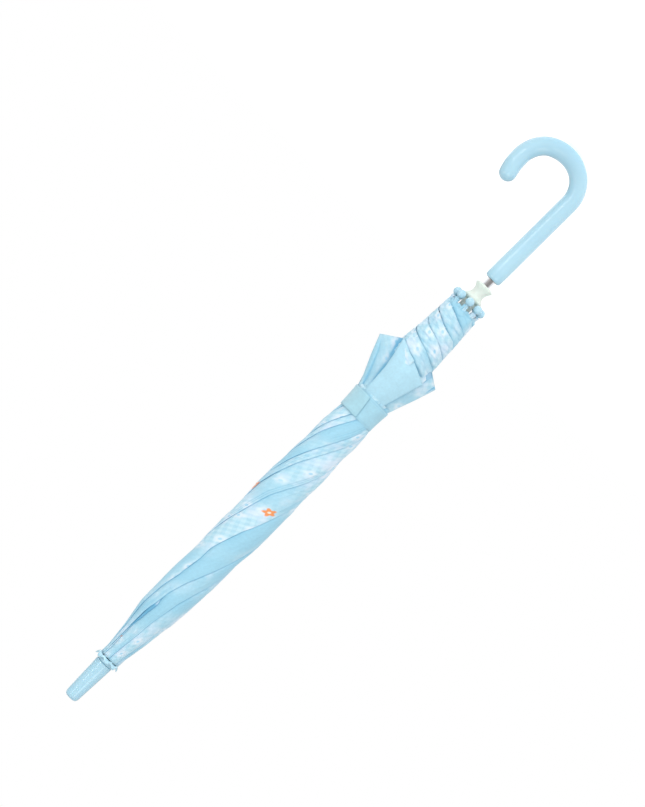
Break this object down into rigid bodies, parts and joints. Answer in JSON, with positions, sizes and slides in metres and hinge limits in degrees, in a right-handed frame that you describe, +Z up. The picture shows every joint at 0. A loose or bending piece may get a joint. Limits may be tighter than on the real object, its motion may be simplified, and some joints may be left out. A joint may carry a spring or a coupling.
{
  "type": "children's umbrella",
  "caption": "Small stick umbrella, furled, with a J hook handle, round ball tips on its ribs, a cup rosette, a sliding runner and a wrapped closing strap.",
  "frame": {"origin": "middle of the straight grip, on the shaft's axis", "axes": "+Z up the shaft to the ferrule, +X from the grip towards the hook's end"},
  "size_m": [0.0972, 0.0556, 0.6784],
  "materials": {
    "blue_plastic": "glossy moulded light blue plastic",
    "frosted_plastic": "translucent off-white nylon, satin",
    "shaft_chrome": "chromed steel tube",
    "spring_steel": "bright spring steel",
    "rib_steel": "zinc plated steel strip",
    "canopy_fabric": "printed light blue polyester pongee",
    "strap_fabric": "folded and stitched light blue polyester",
    "hook_and_loop": "woven nylon tape with a hook-and-loop face"
  },
  "bodies": {
    "shaft": {"shaft_tube": "shaft_chrome", "stop_pin": "spring_steel", "ferrule": "blue_plastic", "rosette": "blue_plastic", "crown": "frosted_plastic", "crown_ring": "spring_steel", "handle": "blue_plastic"},
    "runner": {"runner": "frosted_plastic", "runner_ring": "spring_steel"},
    "rib_1": {"rib_1": "rib_steel", "ball_tip_1": "blue_plastic"},
    "rib_2": {"rib_2": "rib_steel", "ball_tip_2": "blue_plastic"},
    "rib_3": {"rib_3": "rib_steel", "ball_tip_3": "blue_plastic"},
    "rib_4": {"rib_4": "rib_steel", "ball_tip_4": "blue_plastic"},
    "rib_5": {"rib_5": "rib_steel", "ball_tip_5": "blue_plastic"},
    "rib_6": {"rib_6": "rib_steel", "ball_tip_6": "blue_plastic"},
    "rib_7": {"rib_7": "rib_steel", "ball_tip_7": "blue_plastic"},
    "rib_8": {"rib_8": "rib_steel", "ball_tip_8": "blue_plastic"},
    "stretcher_1": {"stretcher_1": "rib_steel", "rivet_1": "spring_steel"},
    "stretcher_2": {"stretcher_2": "rib_steel", "rivet_2": "spring_steel"},
    "stretcher_3": {"stretcher_3": "rib_steel", "rivet_3": "spring_steel"},
    "stretcher_4": {"stretcher_4": "rib_steel", "rivet_4": "spring_steel"},
    "stretcher_5": {"stretcher_5": "rib_steel", "rivet_5": "spring_steel"},
    "stretcher_6": {"stretcher_6": "rib_steel", "rivet_6": "spring_steel"},
    "stretcher_7": {"stretcher_7": "rib_steel", "rivet_7": "spring_steel"},
    "stretcher_8": {"stretcher_8": "rib_steel", "rivet_8": "spring_steel"},
    "panel_1": {"canopy_panel_1": "canopy_fabric"},
    "panel_2": {"canopy_panel_2": "canopy_fabric"},
    "panel_3": {"canopy_panel_3": "canopy_fabric"},
    "panel_4": {"canopy_panel_4": "canopy_fabric"},
    "panel_5": {"canopy_panel_5": "canopy_fabric"},
    "panel_6": {"canopy_panel_6": "canopy_fabric"},
    "panel_7": {"canopy_panel_7": "canopy_fabric"},
    "panel_8": {"canopy_panel_8": "canopy_fabric"},
    "strap": {"strap_band": "strap_fabric"},
    "strap_tab": {"strap_tab": "hook_and_loop"},
    "top_catch": {"top_catch": "spring_steel"},
    "bottom_catch": {"bottom_catch": "spring_steel"}
  },
  "joints": [
    {"name": "runner_slide", "type": "slide", "parent": "shaft", "child": "runner", "axis": [0, 0, 1], "range_m": [0, 0.244], "deforming": ["canopy_panel_1", "canopy_panel_2", "canopy_panel_3", "canopy_panel_4", "canopy_panel_5", "canopy_panel_6", "canopy_panel_7", "canopy_panel_8", "strap_band", "strap_tab", "top_catch", "bottom_catch"]},
    {"name": "rib_1_hinge", "type": "hinge", "parent": "shaft", "child": "rib_1", "pos_m": [0.0065, 0, 0.536], "axis": [0, -1, 0], "range_deg": [0, 64]},
    {"name": "rib_2_hinge", "type": "hinge", "parent": "shaft", "child": "rib_2", "pos_m": [0.0046, 0.0046, 0.536], "axis": [0.7071, -0.7071, 0], "range_deg": [0, 64]},
    {"name": "rib_3_hinge", "type": "hinge", "parent": "shaft", "child": "rib_3", "pos_m": [0, 0.0065, 0.536], "axis": [1, 0, 0], "range_deg": [0, 64]},
    {"name": "rib_4_hinge", "type": "hinge", "parent": "shaft", "child": "rib_4", "pos_m": [-0.0046, 0.0046, 0.536], "axis": [0.7071, 0.7071, 0], "range_deg": [0, 64]},
    {"name": "rib_5_hinge", "type": "hinge", "parent": "shaft", "child": "rib_5", "pos_m": [-0.0065, 0, 0.536], "axis": [0, 1, 0], "range_deg": [0, 64]},
    {"name": "rib_6_hinge", "type": "hinge", "parent": "shaft", "child": "rib_6", "pos_m": [-0.0046, -0.0046, 0.536], "axis": [-0.7071, 0.7071, 0], "range_deg": [0, 64]},
    {"name": "rib_7_hinge", "type": "hinge", "parent": "shaft", "child": "rib_7", "pos_m": [0, -0.0065, 0.536], "axis": [-1, 0, 0], "range_deg": [0, 64]},
    {"name": "rib_8_hinge", "type": "hinge", "parent": "shaft", "child": "rib_8", "pos_m": [0.0046, -0.0046, 0.536], "axis": [-0.7071, -0.7071, 0], "range_deg": [0, 64]},
    {"name": "stretcher_1_hinge", "type": "hinge", "parent": "runner", "child": "stretcher_1", "pos_m": [0.007, 0, 0.118], "axis": [0, 1, 0], "range_deg": [0, 64.96]},
    {"name": "stretcher_2_hinge", "type": "hinge", "parent": "runner", "child": "stretcher_2", "pos_m": [0.00495, 0.00495, 0.118], "axis": [-0.7071, 0.7071, 0], "range_deg": [0, 64.96]},
    {"name": "stretcher_3_hinge", "type": "hinge", "parent": "runner", "child": "stretcher_3", "pos_m": [0, 0.007, 0.118], "axis": [-1, 0, 0], "range_deg": [0, 64.96]},
    {"name": "stretcher_4_hinge", "type": "hinge", "parent": "runner", "child": "stretcher_4", "pos_m": [-0.00495, 0.00495, 0.118], "axis": [-0.7071, -0.7071, 0], "range_deg": [0, 64.96]},
    {"name": "stretcher_5_hinge", "type": "hinge", "parent": "runner", "child": "stretcher_5", "pos_m": [-0.007, 0, 0.118], "axis": [0, -1, 0], "range_deg": [0, 64.96]},
    {"name": "stretcher_6_hinge", "type": "hinge", "parent": "runner", "child": "stretcher_6", "pos_m": [-0.00495, -0.00495, 0.118], "axis": [0.7071, -0.7071, 0], "range_deg": [0, 64.96]},
    {"name": "stretcher_7_hinge", "type": "hinge", "parent": "runner", "child": "stretcher_7", "pos_m": [0, -0.007, 0.118], "axis": [1, 0, 0], "range_deg": [0, 64.96]},
    {"name": "stretcher_8_hinge", "type": "hinge", "parent": "runner", "child": "stretcher_8", "pos_m": [0.00495, -0.00495, 0.118], "axis": [0.7071, 0.7071, 0], "range_deg": [0, 64.96]},
    {"name": "panel_1_spread", "type": "hinge", "parent": "rib_1", "child": "panel_1", "pos_m": [0.00162, 0.00067, 0.53905], "axis": [0.8002, 0.3314, -0.4999], "range_deg": [0, 46.81]},
    {"name": "panel_2_spread", "type": "hinge", "parent": "rib_2", "child": "panel_2", "pos_m": [0.00067, 0.00162, 0.53905], "axis": [0.3314, 0.8002, -0.4999], "range_deg": [0, 46.81]},
    {"name": "panel_3_spread", "type": "hinge", "parent": "rib_3", "child": "panel_3", "pos_m": [-0.00067, 0.00162, 0.53905], "axis": [-0.3314, 0.8002, -0.4999], "range_deg": [0, 46.81]},
    {"name": "panel_4_spread", "type": "hinge", "parent": "rib_4", "child": "panel_4", "pos_m": [-0.00162, 0.00067, 0.53905], "axis": [-0.8002, 0.3314, -0.4999], "range_deg": [0, 46.81]},
    {"name": "panel_5_spread", "type": "hinge", "parent": "rib_5", "child": "panel_5", "pos_m": [-0.00162, -0.00067, 0.53905], "axis": [-0.8002, -0.3314, -0.4999], "range_deg": [0, 46.81]},
    {"name": "panel_6_spread", "type": "hinge", "parent": "rib_6", "child": "panel_6", "pos_m": [-0.00067, -0.00162, 0.53905], "axis": [-0.3314, -0.8002, -0.4999], "range_deg": [0, 46.81]},
    {"name": "panel_7_spread", "type": "hinge", "parent": "rib_7", "child": "panel_7", "pos_m": [0.00067, -0.00162, 0.53905], "axis": [0.3314, -0.8002, -0.4999], "range_deg": [0, 46.81]},
    {"name": "panel_8_spread", "type": "hinge", "parent": "rib_8", "child": "panel_8", "pos_m": [0.00162, -0.00067, 0.53905], "axis": [0.8002, -0.3314, -0.4999], "range_deg": [0, 46.81]},
    {"name": "strap_unwrap", "type": "hinge", "parent": "panel_7", "child": "strap", "pos_m": [0.0094, -0.01628, 0.215], "axis": [0, 0, 1], "range_deg": [0, 95]},
    {"name": "strap_tab_peel", "type": "hinge", "parent": "strap", "child": "strap_tab", "pos_m": [0.01957, -0.00103, 0.215], "axis": [0, 0, 1], "range_deg": [0, 80]},
    {"name": "top_catch_press", "type": "slide", "parent": "shaft", "child": "top_catch", "axis": [0, 1, 0], "range_m": [0, 0.0026], "stiffness_N_per_m": 300},
    {"name": "bottom_catch_press", "type": "slide", "parent": "shaft", "child": "bottom_catch", "axis": [0, 1, 0], "range_m": [0, 0.0026], "stiffness_N_per_m": 300}
  ],
  "couplings": [
    {"joint": "rib_1_hinge", "follows": "runner_slide", "rad_per_m": 4.5769},
    {"joint": "rib_2_hinge", "follows": "runner_slide", "rad_per_m": 4.5769},
    {"joint": "rib_3_hinge", "follows": "runner_slide", "rad_per_m": 4.5769},
    {"joint": "rib_4_hinge", "follows": "runner_slide", "rad_per_m": 4.5769},
    {"joint": "rib_5_hinge", "follows": "runner_slide", "rad_per_m": 4.5769},
    {"joint": "rib_6_hinge", "follows": "runner_slide", "rad_per_m": 4.5769},
    {"joint": "rib_7_hinge", "follows": "runner_slide", "rad_per_m": 4.5769},
    {"joint": "rib_8_hinge", "follows": "runner_slide", "rad_per_m": 4.5769},
    {"joint": "stretcher_1_hinge", "follows": "runner_slide", "rad_per_m": 4.6457},
    {"joint": "stretcher_2_hinge", "follows": "runner_slide", "rad_per_m": 4.6457},
    {"joint": "stretcher_3_hinge", "follows": "runner_slide", "rad_per_m": 4.6457},
    {"joint": "stretcher_4_hinge", "follows": "runner_slide", "rad_per_m": 4.6457},
    {"joint": "stretcher_5_hinge", "follows": "runner_slide", "rad_per_m": 4.6457},
    {"joint": "stretcher_6_hinge", "follows": "runner_slide", "rad_per_m": 4.6457},
    {"joint": "stretcher_7_hinge", "follows": "runner_slide", "rad_per_m": 4.6457},
    {"joint": "stretcher_8_hinge", "follows": "runner_slide", "rad_per_m": 4.6457},
    {"joint": "panel_1_spread", "follows": "runner_slide", "rad_per_m": 3.347},
    {"joint": "panel_2_spread", "follows": "runner_slide", "rad_per_m": 3.347},
    {"joint": "panel_3_spread", "follows": "runner_slide", "rad_per_m": 3.347},
    {"joint": "panel_4_spread", "follows": "runner_slide", "rad_per_m": 3.347},
    {"joint": "panel_5_spread", "follows": "runner_slide", "rad_per_m": 3.347},
    {"joint": "panel_6_spread", "follows": "runner_slide", "rad_per_m": 3.347},
    {"joint": "panel_7_spread", "follows": "runner_slide", "rad_per_m": 3.347},
    {"joint": "panel_8_spread", "follows": "runner_slide", "rad_per_m": 3.347},
    {"joint": "strap_unwrap", "follows": "runner_slide", "rad_per_m": 6.7882},
    {"joint": "strap_tab_peel", "follows": "runner_slide", "rad_per_m": 5.7152}
  ]
}
